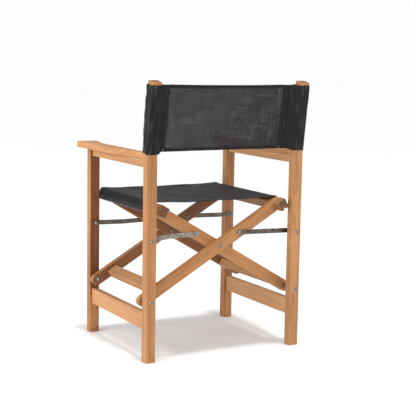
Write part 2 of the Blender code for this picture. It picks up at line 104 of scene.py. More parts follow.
def minus(tree, first, second):
    return calc(tree, "SUBTRACT", first, second)


def times(tree, first, second):
    return calc(tree, "MULTIPLY", first, second)


def vectorCalc(tree, operation, first, second):
    return put(tree, "ShaderNodeVectorMath", {0: first, 1: second}, operation=operation).outputs


# Scales a coordinate so that a pattern comes out long in one direction
def stretch(tree, vector, factors):
    return vectorCalc(tree, "MULTIPLY", vector, factors)[0]


def clouds(tree, vector, scale=1.0, detail=2.0, roughness=0.5):
    inputs = {"Vector": vector, "Scale": scale, "Detail": detail, "Roughness": roughness}
    return put(tree, "ShaderNodeTexNoise", inputs).outputs["Fac"]


def remap(tree, value, low, high, outLow=0.0, outHigh=1.0):
    inputs = {"Value": value, 1: low, 2: high, 3: outLow, 4: outHigh}
    return put(tree, "ShaderNodeMapRange", inputs, clamp=True).outputs[0]


def blendColour(tree, factor, first, second, mode="MIX"):
    node = put(tree, "ShaderNodeMix", {0: factor, 6: first, 7: second}, data_type="RGBA", blend_type=mode)
    return node.outputs[2]


# A shader group with named inputs (name, kind, default) and outputs (name, kind)
def newGroup(name, takes, gives):
    tree = bpy.data.node_groups.new(name, "ShaderNodeTree")
    for label, kind, value in takes:
        socket = tree.interface.new_socket(label, in_out="INPUT", socket_type=kind)
        if value is not None:
            socket.default_value = value
    for label, kind in gives:
        tree.interface.new_socket(label, in_out="OUTPUT", socket_type=kind)
    return tree, tree.nodes.new("NodeGroupInput").outputs, tree.nodes.new("NodeGroupOutput")


def fillGroup(tree, group, inputs):
    return put(tree, "ShaderNodeGroup", inputs, node_tree=group).outputs


vectorKind = "NodeSocketVector"
floatKind = "NodeSocketFloat"
colourKind = "NodeSocketColor"


# Shared effects
grain = {  # the triples are along the grain, then twice across it, in patterns a metre
    "drift": (2.2, 11.0, 11.0),
    "driftSize": (0.0, 0.030, 0.030),  # how far the rings wander, in metres
    "ringStretch": (0.05, 1.0, 1.0),  # rings run long along the grain
    "waveUnit": 0.314,  # wave scale that gives one ring a metre
    "streaks": (3.0, 130.0, 130.0),
    "fibres": (11.0, 900.0, 900.0),
    "pores": (70.0, 2300.0, 2300.0),
    "patches": (3.5, 22.0, 22.0),
}


# Long-grained timber: growth rings, fibres and open pores along the X of its input
def makeTimberGroup():
    tree, given, out = newGroup(
        "timberGrain",
        [("Vector", vectorKind, None), ("Ring Width", floatKind, 0.005), ("Seed", floatKind, 0.0),
         ("Light", colourKind, (0.63, 0.34, 0.15, 1)), ("Dark", colourKind, (0.38, 0.165, 0.06, 1)),
         ("Pore", colourKind, (0.17, 0.065, 0.025, 1)), ("Figure", floatKind, 0.55)],
        [("Color", colourKind), ("Roughness", floatKind), ("Height", floatKind)],
    )
    seed = put(tree, "ShaderNodeCombineXYZ", {0: given["Seed"], 1: 0.0, 2: 0.0}).outputs[0]
    place = vectorCalc(tree, "ADD", given["Vector"], seed)[0]
    drift = put(tree, "ShaderNodeTexNoise", {"Vector": stretch(tree, place, grain["drift"]),
                                             "Scale": 1.0, "Detail": 2.0}).outputs["Color"]
    drift = stretch(tree, drift, grain["driftSize"])
    bent = vectorCalc(tree, "ADD", stretch(tree, place, grain["ringStretch"]), drift)[0]
    ringScale = calc(tree, "DIVIDE", grain["waveUnit"], given["Ring Width"])
    rings = put(tree, "ShaderNodeTexWave", {"Vector": bent, "Scale": ringScale, "Distortion": 1.4,
                                            "Detail": 2.0, "Detail Scale": 1.2, "Detail Roughness": 0.6},
                wave_type="RINGS", rings_direction="X", wave_profile="SAW").outputs["Fac"]
    rings = calc(tree, "POWER", rings, 1.6)
    streaks = clouds(tree, stretch(tree, place, grain["streaks"]), 1.0, 3.0, 0.6)
    streaks = remap(tree, streaks, 0.42, 0.66)
    fibres = clouds(tree, stretch(tree, place, grain["fibres"]), 1.0, 3.0, 0.65)
    pores = clouds(tree, stretch(tree, place, grain["pores"]), 1.0, 1.0, 0.5)
    pores = remap(tree, pores, 0.60, 0.70)
    patches = clouds(tree, stretch(tree, place, grain["patches"]), 1.0, 2.0, 0.5)
    figure = plus(tree, times(tree, rings, 0.55), times(tree, streaks, 0.45))
    figure = times(tree, figure, given["Figure"])
    figure = plus(tree, figure, remap(tree, patches, 0.3, 0.7, -0.30, 0.24))
    colour = blendColour(tree, figure, given["Light"], given["Dark"])
    shade = remap(tree, fibres, 0.3, 0.7, 0.80, 1.12)
    shades = put(tree, "ShaderNodeCombineColor", {0: shade, 1: shade, 2: shade}).outputs[0]
    colour = blendColour(tree, 1.0, colour, shades, "MULTIPLY")
    colour = blendColour(tree, times(tree, pores, 0.55), colour, given["Pore"])
    height = minus(tree, times(tree, fibres, 0.5), times(tree, pores, 0.6))
    height = minus(tree, height, times(tree, rings, 0.2))
    rough = remap(tree, fibres, 0.2, 0.8, 0.42, 0.62)
    feed(tree, out, {"Color": colour, "Roughness": rough, "Height": height})
    return tree


# A mask along rounded edges, broken up by noise
def makeWearGroup():
    tree, given, out = newGroup(
        "edgeWear",
        [("Vector", vectorKind, None), ("Radius", floatKind, 0.002), ("Amount", floatKind, 1.0)],
        [("Mask", floatKind)],
    )
    turned = put(tree, "ShaderNodeBevel", {"Radius": given["Radius"]}, samples=4).outputs[0]
    facing = put(tree, "ShaderNodeNewGeometry").outputs["Normal"]
    match = vectorCalc(tree, "DOT_PRODUCT", turned, facing)[1]
    edge = remap(tree, match, 0.90, 0.99, 1.0, 0.0)
    broken = remap(tree, clouds(tree, given["Vector"], 160.0, 3.0, 0.6), 0.35, 0.7)
    mask = times(tree, times(tree, edge, broken), given["Amount"])
    feed(tree, out, {"Mask": mask})
    return tree


# Uneven handling marks and dust: a slow mask with a fine one on top
def makeDustGroup():
    tree, given, out = newGroup(
        "dustAndHandling",
        [("Vector", vectorKind, None), ("Size", floatKind, 14.0)],
        [("Mask", floatKind)],
    )
    slow = remap(tree, clouds(tree, given["Vector"], given["Size"], 3.0, 0.55), 0.42, 0.75)
    fine = clouds(tree, given["Vector"], 420.0, 2.0, 0.6)
    feed(tree, out, {"Mask": times(tree, slow, fine)})
    return tree


yarn = {
    "wobble": 90.0,
    "wefts": (11.0, 640.0, 1.0),  # streaks along the width
    "warps": (380.0, 7.0, 1.0),
    "gapSpread": 0.20,  # thin threads leave wider gaps
}


# Crossed yarns in cloth coordinates (metres): over and under, with the gaps between them
def makeWeaveGroup():
    tree, given, out = newGroup(
        "yarnWeave",
        [("Vector", vectorKind, None), ("Pitch", floatKind, 0.0016), ("Gap", floatKind, 0.5),
         ("Light", colourKind, (0.09, 0.088, 0.094, 1)), ("Dark", colourKind, (0.022, 0.022, 0.025, 1)),
         ("Streaks", floatKind, 1.0)],
        [("Color", colourKind), ("Cover", floatKind), ("Height", floatKind)],
    )
    parts = put(tree, "ShaderNodeSeparateXYZ", {0: given["Vector"]}).outputs
    wobble = remap(tree, clouds(tree, given["Vector"], yarn["wobble"], 1.0), 0.0, 1.0, -0.35, 0.35)
    across = plus(tree, calc(tree, "DIVIDE", parts[0], given["Pitch"]), wobble)
    along = plus(tree, calc(tree, "DIVIDE", parts[1], given["Pitch"]), wobble)
    warp = calc(tree, "ABSOLUTE", calc(tree, "SINE", times(tree, across, math.pi)))
    weft = calc(tree, "ABSOLUTE", calc(tree, "SINE", times(tree, along, math.pi)))
    cells = plus(tree, calc(tree, "FLOOR", across), calc(tree, "FLOOR", along))
    over = calc(tree, "FLOORED_MODULO", cells, 2.0)
    height = put(tree, "ShaderNodeMix", {0: over, 2: warp, 3: weft}).outputs[0]
    openness = times(tree, minus(tree, 1.0, warp), minus(tree, 1.0, weft))
    wefts = clouds(tree, stretch(tree, given["Vector"], yarn["wefts"]), 1.0, 3.0, 0.7)
    warps = clouds(tree, stretch(tree, given["Vector"], yarn["warps"]), 1.0, 2.0, 0.6)
    streaks = plus(tree, times(tree, wefts, 0.7), times(tree, warps, 0.3))
    streaks = remap(tree, streaks, 0.32, 0.68, -0.5, 0.5)
    limit = calc(tree, "MULTIPLY_ADD", streaks, -yarn["gapSpread"], given["Gap"])
    gap = calc(tree, "GREATER_THAN", openness, limit)
    # yarns are coloured lighter along their crowns and darker where they dip under each other: painted
    # shade
    tone = calc(tree, "MULTIPLY_ADD", streaks, given["Streaks"], times(tree, height, 0.75))
    colour = blendColour(tree, remap(tree, tone, 0.0, 1.0), given["Dark"], given["Light"])
    feed(tree, out, {"Color": colour, "Cover": minus(tree, 1.0, gap), "Height": height})
    return tree


zinc = {"crystals": 420.0, "stains": 75.0, "scratches": (60.0, 60.0, 1900.0)}


# Dull zinc: crystalline patches, slow stains and fine rubbing scratches
def makeMetalGroup():
    tree, given, out = newGroup(
        "zincSkin",
        [("Vector", vectorKind, None), ("Light", colourKind, (0.66, 0.65, 0.61, 1)),
         ("Dark", colourKind, (0.33, 0.32, 0.29, 1)), ("Scratch", floatKind, 0.5)],
        [("Color", colourKind), ("Roughness", floatKind), ("Height", floatKind)],
    )
    cells = {"Vector": given["Vector"], "Scale": zinc["crystals"]}
    crystals = put(tree, "ShaderNodeTexVoronoi", cells).outputs["Color"]
    crystal = put(tree, "ShaderNodeSeparateColor", {0: crystals}).outputs[0]
    stains = remap(tree, clouds(tree, given["Vector"], zinc["stains"], 4.0, 0.65), 0.38, 0.70)
    scratches = clouds(tree, stretch(tree, given["Vector"], zinc["scratches"]), 1.0, 3.0, 0.7)
    scratches = times(tree, remap(tree, scratches, 0.48, 0.66), given["Scratch"])
    factor = plus(tree, times(tree, stains, 0.65), times(tree, crystal, 0.18))
    colour = blendColour(tree, plus(tree, factor, times(tree, scratches, 0.25)),
                         given["Light"], given["Dark"])
    rough = remap(tree, stains, 0.0, 1.0, 0.30, 0.52)
    rough = plus(tree, rough, times(tree, crystal, 0.1))
    feed(tree, out, {"Color": colour, "Roughness": rough, "Height": minus(tree, crystal, scratches)})
    return tree


timberGroup = makeTimberGroup()
wearGroup = makeWearGroup()
dustGroup = makeDustGroup()
weaveGroup = makeWeaveGroup()
metalGroup = makeMetalGroup()
print("shader groups built")


# Materials
def newMaterial(name):
    material = bpy.data.materials.new(name)
    material.use_nodes = True
    tree = material.node_tree
    return material, tree, tree.nodes["Principled BSDF"]


def bump(tree, height, distance, strength=1.0):
    inputs = {"Height": height, "Distance": distance, "Strength": strength}
    return put(tree, "ShaderNodeBump", inputs).outputs[0]


timber = {
    "light": (0.50, 0.236, 0.082, 1),
    "dark": (0.235, 0.084, 0.024, 1),
    "pore": (0.11, 0.036, 0.013, 1),
    "worn": (0.60, 0.35, 0.17, 1),
    "endGrain": (0.21, 0.080, 0.028),
    "paintedShade": (0.45, 0.28, 0.24),  # painted shade: the tint that darkens and reddens the faces turned inwards, where shade falls
    "shadeFadeHeight": 0.11,  # below this height the painted shade fades out, as the floor lights the low faces
    "heart": 0.045,  # from the piece to the heart of the log
    "bumpDepth": 0.00035,
    "gloss": 0.38,
}


# Grain along the direction that the turn gives to X, set out from the piece's centre
def makeTimber(name, centre, turn, seed, ringWidth, shade, figure, shadedSide, amount, pale=0.0, ends=1.0):
    material, tree, shader = newMaterial(name)
    where = put(tree, "ShaderNodeTexCoord").outputs
    heart = Vector((0, timber["heart"] * math.cos(seed * 2.1), timber["heart"] * math.sin(seed * 2.1)))
    heart.rotate(turn)
    local = put(tree, "ShaderNodeMapping", {0: where["Object"], 1: centre + heart, 2: tuple(turn)},
                vector_type="TEXTURE").outputs[0]
    tint = []
    # shade brightens or darkens a whole piece, partly painted light and shade; pale draws pieces that
    # stand in stronger light towards the worn colour, as painted light
    for tone in ("light", "dark", "pore"):
        mixed = Vector(timber[tone][:3]).lerp(Vector(timber["worn"][:3]), pale) * shade
        tint.append((*mixed, 1))
    wood = fillGroup(tree, timberGroup, {
        "Vector": local, "Ring Width": ringWidth, "Seed": seed, "Figure": figure,
        "Light": tint[0], "Dark": tint[1], "Pore": tint[2]})
    direction = Vector((1, 0, 0))
    direction.rotate(turn)
    cutEnd = vectorCalc(tree, "DOT_PRODUCT", where["Normal"], direction)[1]
    cutEnd = remap(tree, calc(tree, "ABSOLUTE", cutEnd), 0.82, 0.97)
    cutEnd = times(tree, cutEnd, 0.88)
    wear = fillGroup(tree, wearGroup, {"Vector": where["Object"], "Radius": 0.0022, "Amount": 0.55})[0]
    dust = fillGroup(tree, dustGroup, {"Vector": where["Object"], "Size": 11.0})[0]
    colour = blendColour(tree, cutEnd, wood["Color"], (*(Vector(timber["endGrain"]) * ends), 1))
    colour = blendColour(tree, wear, colour, timber["worn"])
    colour = blendColour(tree, times(tree, dust, 0.28), colour, tint[1])
    # Painted shade: faces turned towards the given side are darkened and reddened, fading out near the
    # floor
    facing = vectorCalc(tree, "DOT_PRODUCT", where["Normal"], shadedSide)[1]
    shadeMask = times(tree, remap(tree, facing, 0.35, 0.8), amount)
    level = put(tree, "ShaderNodeSeparateXYZ", {0: where["Object"]}).outputs[2]
    shadeMask = times(tree, shadeMask, remap(tree, level, timber["shadeFadeHeight"], timber["shadeFadeHeight"] + 0.06))
    colour = blendColour(tree, shadeMask, colour, (*timber["paintedShade"], 1), "MULTIPLY")
    rough = plus(tree, wood["Roughness"], times(tree, dust, 0.15))
    normal = bump(tree, wood["Height"], timber["bumpDepth"], 0.6)
    feed(tree, shader, {"Base Color": colour, "Roughness": rough, "Normal": normal,
                        "Specular IOR Level": timber["gloss"]})
    return material


steel = {
    "plateLight": (0.33, 0.31, 0.27, 1),
    "plateDark": (0.085, 0.074, 0.058, 1),
    # a darker copy of the plate: painted shade for the links that face away from the light
    "shadedPlateLight": (0.17, 0.145, 0.115, 1),
    "shadedPlateDark": (0.050, 0.040, 0.029, 1),
    "headLight": (0.42, 0.42, 0.41, 1),
    "headDark": (0.17, 0.165, 0.155, 1),
    "worn": (0.62, 0.61, 0.59, 1),
    # painted shade for the hollows of heads and round their rims
    "recessShade": (0.035, 0.030, 0.026, 1),
    "socket": 0.0026,  # radius of the hollow in a head
    "rim": 0.0060,
}


def makeSteel(name, light, dark, scratch, axis=None):
    material, tree, shader = newMaterial(name)
    where = put(tree, "ShaderNodeTexCoord").outputs["Object"]
    skin = fillGroup(tree, metalGroup, {"Vector": where, "Light": light, "Dark": dark, "Scratch": scratch})
    wear = fillGroup(tree, wearGroup, {"Vector": where, "Radius": 0.0008, "Amount": 0.8})[0]
    colour = blendColour(tree, wear, skin["Color"], steel["worn"])
    metallic = 1.0
    if axis:
        # painted shade in the hollow of a head and a painted contact shadow round its rim, measured from
        # the bolt's own axis
        offset = stretch(tree, vectorCalc(tree, "SUBTRACT", where, axis)[0], (1, 0, 1))
        radius = put(tree, "ShaderNodeVectorMath", {0: offset}, operation="LENGTH").outputs[1]
        hollow = remap(tree, radius, steel["socket"] * 0.85, steel["socket"] * 1.1, 1.0, 0.0)
        around = remap(tree, radius, steel["rim"] * 0.9, steel["rim"] * 1.08, 0.0, 0.8)
        recessShade = calc(tree, "MAXIMUM", hollow, around)
        colour = blendColour(tree, recessShade, colour, steel["recessShade"])
        metallic = minus(tree, 1.0, recessShade)
    feed(tree, shader, {
        "Base Color": colour,
        "Metallic": metallic,
        "Roughness": skin["Roughness"],
        "Normal": bump(tree, skin["Height"], 0.00008, 0.5),
    })
    return material


cloth = {
    "mapName": "clothMap",
    "meshPitch": 0.0019,
    "meshGap": 0.30,
    "seatGap": 0.47,
    "closed": 2.0,  # from 1 upwards a weave has no gaps
    "meshLight": (0.039, 0.036, 0.042, 1),
    "meshDark": (0.005, 0.005, 0.006, 1),
    "seatLight": (0.018, 0.0172, 0.0205, 1),
    "seatDark": (0.003, 0.003, 0.004, 1),
    "bandPitch": 0.0011,
    "bandLight": (0.0075, 0.0080, 0.0105, 1),
    "bandDark": (0.0020, 0.0020, 0.0030, 1),
    # colour of the painted highlight streaks on folds
    "crease": (0.060, 0.064, 0.078, 1),
    "foldHighlightStretch": (125.0, 17.0, 1.0),
    "threadLight": (0.050, 0.050, 0.055, 1),
    "threadDark": (0.016, 0.016, 0.019, 1),
}


def makeCloth(name, pitch, gap, light, dark, streaks, rough, gloss, foldHighlights):
    material, tree, shader = newMaterial(name)
    flat = put(tree, "ShaderNodeUVMap", None, uv_map=cloth["mapName"]).outputs[0]
    where = put(tree, "ShaderNodeTexCoord").outputs["Object"]
    weave = fillGroup(tree, weaveGroup, {"Vector": flat, "Pitch": pitch, "Gap": gap, "Light": light,
                                         "Dark": dark, "Streaks": streaks})
    dust = fillGroup(tree, dustGroup, {"Vector": where, "Size": 24.0})[0]
    colour = blendColour(tree, times(tree, dust, 0.15), weave["Color"], light)
    # painted highlight: pale broken streaks, as light caught along fold crests
    lines = clouds(tree, stretch(tree, flat, cloth["foldHighlightStretch"]), 1.0, 3.0, 0.6)
    lines = times(tree, remap(tree, lines, 0.57, 0.68), foldHighlights)
    colour = blendColour(tree, lines, colour, cloth["crease"])
    roughness = calc(tree, "MULTIPLY_ADD", weave["Height"], -0.12, rough)
    feed(tree, shader, {
        "Base Color": colour,
        "Roughness": plus(tree, roughness, times(tree, dust, 0.2)),
        "Normal": bump(tree, weave["Height"], 0.0004, 0.8),
        "Alpha": weave["Cover"] if gap < 1 else 1.0,
        "Sheen Weight": 0.03,
        "Sheen Roughness": 0.4,
        "Specular IOR Level": gloss,
    })
    return material


def makeThread():
    material, tree, shader = newMaterial("sewingThread")
    where = put(tree, "ShaderNodeTexCoord").outputs["Object"]
    twist = clouds(tree, stretch(tree, where, (1500.0, 1500.0, 1500.0)), 1.0, 2.0)
    dust = fillGroup(tree, dustGroup, {"Vector": where, "Size": 60.0})[0]
    colour = blendColour(tree, remap(tree, twist, 0.3, 0.7), cloth["threadDark"], cloth["threadLight"])
    feed(tree, shader, {
        "Base Color": blendColour(tree, dust, colour, cloth["threadLight"]),
        "Roughness": remap(tree, twist, 0.2, 0.8, 0.45, 0.75),
        "Normal": bump(tree, twist, 0.0001, 0.6),
    })
    return material


# A dark material for the recesses in heads: painted shade
def makeRecessShade():
    material, tree, shader = newMaterial("paintedRecessShade")
    where = put(tree, "ShaderNodeTexCoord").outputs["Object"]
    mottle = remap(tree, clouds(tree, where, 2400.0, 2.0), 0.3, 0.7)
    colour = blendColour(tree, mottle, steel["recessShade"], steel["headDark"])
    feed(tree, shader, {
        "Base Color": colour,
        "Roughness": remap(tree, mottle, 0.0, 1.0, 0.9, 0.6),
        "Normal": bump(tree, mottle, 0.0002, 0.6),
    })
    return material


recessShadeMaterial = makeRecessShade()
meshMaterial = makeCloth("openMesh", cloth["meshPitch"], cloth["meshGap"], cloth["meshLight"],
                         cloth["meshDark"], streaks=2.1, rough=0.72, gloss=0.30, foldHighlights=0.0)
seatMaterial = makeCloth("seatMesh", cloth["meshPitch"], cloth["seatGap"], cloth["seatLight"],
                         cloth["seatDark"], streaks=2.0, rough=0.62, gloss=0.12, foldHighlights=0.15)
bandMaterial = makeCloth("blackBand", cloth["bandPitch"], cloth["closed"], cloth["bandLight"],
                         cloth["bandDark"], streaks=0.8, rough=0.46, gloss=0.24, foldHighlights=0.6)
threadMaterial = makeThread()
stripMaterial = makeSteel("zincStrip", steel["plateLight"], steel["plateDark"], 0.9)
shadedStripMaterial = makeSteel("shadedZincStrip", steel["shadedPlateLight"], steel["shadedPlateDark"], 0.9)
headMaterial = makeSteel("zincHead", steel["headLight"], steel["headDark"], 0.4)


# Finishes for the frame's own nodes
upright = Euler((0, -math.pi / 2, 0))
lengthways = Euler((0, 0, math.pi / 2))
risingLeft = Euler((0, -barAngle, 0))  # the inner pair climbs towards +X
risingRight = Euler((0, barAngle, 0))
toFront = (0, -1, 0)
toRear = (0, 1, 0)
under = (0, 0, -1)

# node: direction, ring width, shade (a tone per piece, partly painted light and shade), figure, face that
# gets painted shade, how much, paleness (painted light), tone of the cut ends
timberPieces = {}
# deep is how much painted shade the front legs' rear faces get, more on the left leg than the right
for side, deep, pale in (("left", 0.95, 0.0), ("right", 0.25, 0.15)):
    timberPieces[side + "_rear_post"] = (upright, 0.0042, 1.0, 0.90, toFront, 0.5, pale)
    timberPieces[side + "_front_leg"] = (upright, 0.0048, 0.97, 0.90, toRear, deep)
    timberPieces[side + "_armrest"] = (lengthways, 0.0062, 1.08, 0.80, under, 0.5, 0.10)
    timberPieces[side + "_apron"] = (lengthways, 0.0050, 1.06, 0.80, under, 0.5, 0.22)
    timberPieces[side + "_side_rail"] = (lengthways, 0.0056, 1.08, 0.80, under, 0.5, 0.22 + pale)
for pair, slope in (("inner", risingLeft), ("outer", risingRight)):
    timberPieces[pair + "_rear_bar"] = (slope, 0.0050, 1.02, 0.85, toFront, 0.5)
    timberPieces[pair + "_front_bar"] = (slope, 0.0044, 0.92, 0.85, toRear, 0.75)
    timberPieces[pair + "_stretcher"] = (lengthways, 0.0052, 1.06, 0.80, under, 0.5, 0.22)
    # the seat rails' lower tone and darker cut ends are painted shade
    timberPieces[pair + "_seat_rail"] = (lengthways, 0.0046, 0.80, 0.80, under, 0.4, 0.0, 0.45)
    timberPieces[pair + "_sling_rod"] = (lengthways, 0.0030, 0.75, 0.60, under, 0.4)


def paint(name, material):
    mesh = nodes[name].data
    mesh.materials.clear()
    mesh.materials.append(material)


for number, (name, (turn, *finish)) in enumerate(sorted(timberPieces.items())):
    paint(name, makeTimber("teak_" + name, middle(name), turn, 0.7 + 1.37 * number, *finish))
for name in nodes:
    if name.endswith("_link"):
        # The left rear link gets the plain zinc, the others a darker copy of it: painted shade
        paint(name, stripMaterial if name == "left_rear_link" else shadedStripMaterial)
    elif name.endswith("_spacer"):
        paint(name, headMaterial)
    elif name.split("_")[-1] in ("bolt", "nut", "rivet", "stud"):
        paint(name, makeSteel("zinc_" + name, steel["headLight"], steel["headDark"], 0.4, middle(name)))
print("frame finished with", len(timberPieces), "timber pieces")


def addObject(name, data):
    item = bpy.data.objects.new(name, data)
    bpy.context.scene.collection.objects.link(item)
    return item


# Mesh helpers
# Turns a bmesh into a smooth-shaded object in its material slot
def finishMesh(name, shape, material):
    mesh = bpy.data.meshes.new(name)
    bmesh.ops.recalc_face_normals(shape, faces=shape.faces)
    shape.to_mesh(mesh)
    shape.free()
    mesh.materials.append(material)
    mesh.shade_smooth()
    item = addObject(name, mesh)
    return item


# A quad skin through rows of points, with its cloth coordinates in metres
def skin(rows, flats, closed=False):
    shape = bmesh.new()
    mapping = shape.loops.layers.uv.new(cloth["mapName"])
    grid = [[shape.verts.new(p) for p in row] for row in rows]
    count = len(rows[0])
    steps = count if closed else count - 1
    for i in range(len(rows) - 1):
        for k in range(steps):
            m = (k + 1) % count
            face = shape.faces.new((grid[i][k], grid[i][m], grid[i + 1][m], grid[i + 1][k]))
            flatAt = (flats[i][k], flats[i][k + 1], flats[i + 1][k + 1], flats[i + 1][k])
            for loop, at in zip(face.loops, flatAt):
                loop[mapping].uv = at
    return shape


def thicken(item, thickness):
    modifier = item.modifiers.new("thickness", "SOLIDIFY")
    modifier.thickness = thickness
    modifier.offset = 0
    bpy.context.view_layer.update()
    solid = bpy.data.meshes.new_from_object(item.evaluated_get(bpy.context.evaluated_depsgraph_get()))
    item.modifiers.clear()
    item.data = solid
    solid.shade_smooth()
    solid.set_sharp_from_angle(angle=math.radians(50))
    return item


def lengths(points):
    run = [0.0]
    for first, second in zip(points, points[1:]):
        run.append(run[-1] + (Vector(second) - Vector(first)).length)
    return run


# Points at even spacing along a polyline
def resample(points, count):
    run = lengths(points)
    result = []
    k = 0
    for i in range(count):
        at = run[-1] * i / (count - 1)
        while k < len(points) - 2 and run[k + 1] < at:
            k += 1
        share = (at - run[k]) / max(run[k + 1] - run[k], 1e-9)
        result.append(Vector(points[k]).lerp(Vector(points[k + 1]), min(1.0, share)))
    return result


def soften(points, rounds):
    for _ in range(rounds):
        inner = [(points[i - 1] + points[i] * 2 + points[i + 1]) / 4 for i in range(1, len(points) - 1)]
        points = [points[0], *inner, points[-1]]
    return points


def arc(centre, radius, start, stop, steps):
    turns = [math.radians(start + (stop - start) * i / steps) for i in range(steps + 1)]
    return [Vector((centre[0] + radius * math.cos(t), centre[1] + radius * math.sin(t))) for t in turns]


def ease(share):
    share = max(0.0, min(1.0, share))
    return share * share * (3 - 2 * share)


# Skins a tube through closed rings of vertices and caps both ends; the far cap comes last
def joinRings(shape, rings):
    count = len(rings[0])
    faces = []
    for low, high in zip(rings, rings[1:]):
        for k in range(count):
            m = (k + 1) % count
            faces.append(shape.faces.new((low[k], low[m], high[m], high[k])))
    faces.append(shape.faces.new(list(reversed(rings[0]))))
    faces.append(shape.faces.new(rings[-1]))
    return faces


stitch = {
    "length": 0.0030,
    "pitch": 0.0043,
    "radius": 0.00034,
    "rise": 0.00012,
    "profile": ((-0.5, 0.35), (-0.34, 0.9), (0.0, 1.0), (0.34, 0.9), (0.5, 0.35)),  # place, thickness
}


# Small sewn loops along a line of points, each lying on the cloth below it
def addStitches(shape, points, ups):
    run = lengths(points)
    count = int(run[-1] / stitch["pitch"])
    spots = resample(points, count * 2 + 1)
    for i in range(count):
        centre = spots[2 * i + 1]
        ahead = (spots[2 * i + 2] - spots[2 * i]).normalized()
        up = ups[min(len(ups) - 1, int((2 * i + 1) / (2 * count) * len(ups)))]
        side = ahead.cross(up).normalized()
        up = side.cross(ahead).normalized()
        rings = []
        for along, size in stitch["profile"]:
            ring = []
            for k in range(6):
                turn = math.radians(60 * k)
                out = side * math.cos(turn) + up * math.sin(turn)
                lift = up * (stitch["rise"] - stitch["radius"] * (1 - size))
                ring.append(shape.verts.new(
                    centre + ahead * along * stitch["length"] + out * stitch["radius"] * size + lift))
            rings.append(ring)
        joinRings(shape, rings)


# Seat: cloth held by a rod in each rail's keyhole
seat = {
    "railWidth": 0.030,
    "railDepth": 0.033,
    "railTopRadius": 0.003,
    "railBottomRadius": 0.002,
    "rodDrop": 0.0075,
    "loopRadius": 0.0050,
    "slotHalf": 0.0025,
    "layer": 0.0012,  # cloth thickness
    "standOff": 0.0013,  # middle of the cloth, from the rail
    "sag": 0.0065,
    "rearClearance": 0.0010,
    "hemWidth": 0.013,
    "hemLayer": 0.0011,
    "sideHem": 0.009,
    "rows": 56,
    "foldPitch": 0.0105,
    "foldHeight": 0.0009,
    "pullHeight": 0.0011,
    "cornerPull": 0.0022,
}
seatFront = railLow.y + 0.0004
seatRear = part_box("outer_rear_bar")[0].y - seat["rearClearance"]


# Centre line of the cloth on the +X rail, as (along the bar, across it), from the sewn end outwards
def railSection():
    w = seat["railWidth"] / 2
    d = seat["railDepth"] / 2
    off = seat["standOff"]
    rod = (0.0, -seat["rodDrop"])
    side = seat["slotHalf"] - off
    dip = math.degrees(math.acos(side / seat["loopRadius"]))
    line = [Vector((-side, -d + 0.0015))]
    line += arc(rod, seat["loopRadius"], 180 + dip, -dip, 22)
    line += arc((seat["slotHalf"], -d), off, 180, 270, 5)
    corner = seat["railBottomRadius"]
    line += arc((w - corner, -d + corner), corner + off, 270, 360, 6)
    corner = seat["railTopRadius"]
    line += arc((w - corner, d - corner), corner + off, 0, 90 - math.degrees(barAngle), 6)
    return line


railLine = railSection()
faceEdge = seat["railWidth"] / 2  # half the rail, where its outer face begins


# (along, across) on the +X rail to the row frame's X and Z
def railToWorld(point):
    c = math.cos(barAngle)
    s = math.sin(barAngle)
    return Vector((railCentre.x + point[0] * c - point[1] * s, railCentre.z + point[0] * s + point[1] * c))


leftSide = [railToWorld(p) for p in railLine]
spanEnd = leftSide[-1]
spanSteps = 64
spanLine = [Vector((spanEnd.x * (1 - 2 * i / spanSteps), spanEnd.y)) for i in range(1, spanSteps)]
seatLine = leftSide + spanLine + [Vector((-p.x, p.y)) for p in reversed(leftSide)]
seatRun = lengths(seatLine)
faceStart = next(k for k, p in enumerate(railLine) if p[0] > faceEdge + 0.001)
faceRun = (seatRun[faceStart], seatRun[faceStart + 1] + 0.004)


# Sag plus soft pulls from the corners, as a change of height; nothing over the rails
def seatWaves(x, y):
    share = abs(x) / spanEnd.x
    free = ease((1 - share) / 0.22)
    sag = -seat["sag"] * (1 - share ** 2)
    depth = (y - seatFront) / (seatRear - seatFront)
    phase = depth * 2.3 + 0.9 * share + 0.4 * noise.noise((x * 7, y * 5, 2.0))
    pulls = seat["pullHeight"] * math.sin(2 * math.pi * phase)
    pulls += 0.0009 * noise.noise((x * 16, y * 9, 5.0))
    edgePull = seat["cornerPull"] * (abs(2 * depth - 1) ** 3) * (1 - share ** 2)
    return sag + free * pulls + edgePull


# Long slack folds in the part that hangs over the outer face of each rail, only ever outwards
def flapFolds(k, y):
    mirrored = min(k, len(seatLine) - 1 - k)
    s = seatRun[mirrored]
    side = 1 if k == mirrored else -1
    inside = ease((s - faceRun[0]) / 0.006) * ease((faceRun[1] - s) / 0.006)
    drift = 0.010 * noise.noise((y * 6, 3.0 * side, 1.0)) + 0.10 * (y - seatFront)
    fold = 0.5 + 0.5 * math.sin(2 * math.pi * (s + drift) / seat["foldPitch"])
    rough = 0.0003 * (1 + noise.noise((s * 90, y * 30, 2.0 * side)))
    return inside * (seat["foldHeight"] * fold ** 1.5 + rough)


# A point of the seat cloth, lifted along its outward normal
def seatPoint(k, y, lift=0.0):
    here = seatLine[k]
    before = seatLine[max(0, k - 1)]
    after = seatLine[min(len(seatLine) - 1, k + 1)]
    tangent = (after - before).normalized()
    normal = Vector((tangent.y, -tangent.x))
    lift += flapFolds(k, y)
    x = here.x + normal.x * lift
    z = here.y + normal.y * lift
    if len(leftSide) <= k < len(seatLine) - len(leftSide):
        z += seatWaves(here.x, y)
    return Vector((x, y, z))


def seatStrip(name, keys, ys, lift, layer, material):
    rows = []
    flats = []
    for y in ys:
        rows.append([seatPoint(k, y, lift) for k in keys])
        flats.append([(seatRun[k], y) for k in keys])
    return thicken(finishMesh(name, skin(rows, flats), material), layer)


def evenly(low, high, count):
    return [low + (high - low) * i / (count - 1) for i in range(count)]


